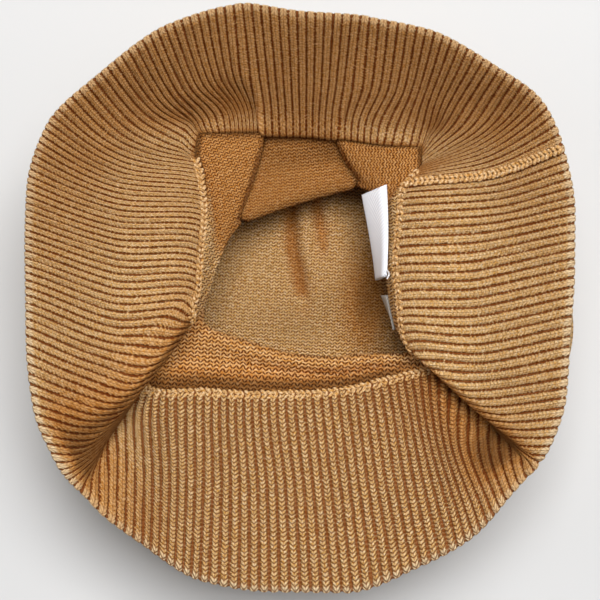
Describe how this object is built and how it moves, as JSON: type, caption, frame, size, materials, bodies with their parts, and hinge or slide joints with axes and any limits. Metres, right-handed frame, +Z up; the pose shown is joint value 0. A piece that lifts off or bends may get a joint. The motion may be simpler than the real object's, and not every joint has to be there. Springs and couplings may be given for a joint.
{
  "type": "knitted beret",
  "caption": "Soft knitted beret lying on its crown with its long ribbed band open upwards, folded at two corners, with two fabric labels inside.",
  "frame": {"origin": "middle of the base of the bounding box, on the surface the crown rests on", "axes": "+Z up out of the opening; +X towards the side of the band with the seam and the labels; +Y towards the side where the band stands steepest"},
  "size_m": [0.1777, 0.1781, 0.0975],
  "materials": {
    "rib_knit": "heathered rib knit",
    "jersey_knit": "heathered plain knit",
    "link_yarn": "chain-linked yarn",
    "seam_yarn": "puffy seam allowance",
    "label_satin": "fine twill tape",
    "size_satin": "fine twill tape",
    "white_thread": "sewing thread"
  },
  "bodies": {
    "hat": {"rib_band": "rib_knit", "crown": "jersey_knit", "linking_row": "link_yarn", "band_seam": "seam_yarn", "label_thread": "white_thread"},
    "care_label": {"care_label": "label_satin"},
    "size_label": {"size_label": "size_satin"}
  },
  "joints": [
    {"name": "care_label_turn", "type": "hinge", "parent": "hat", "child": "care_label", "pos_m": [0.027, 0.02, 0.049], "axis": [0, 1, 0], "range_deg": [-8, 90]},
    {"name": "size_label_turn", "type": "hinge", "parent": "hat", "child": "size_label", "pos_m": [0.02865, -0.004, 0.038], "axis": [-0.1702, 0.9854, 0], "range_deg": [-10, 60]}
  ]
}
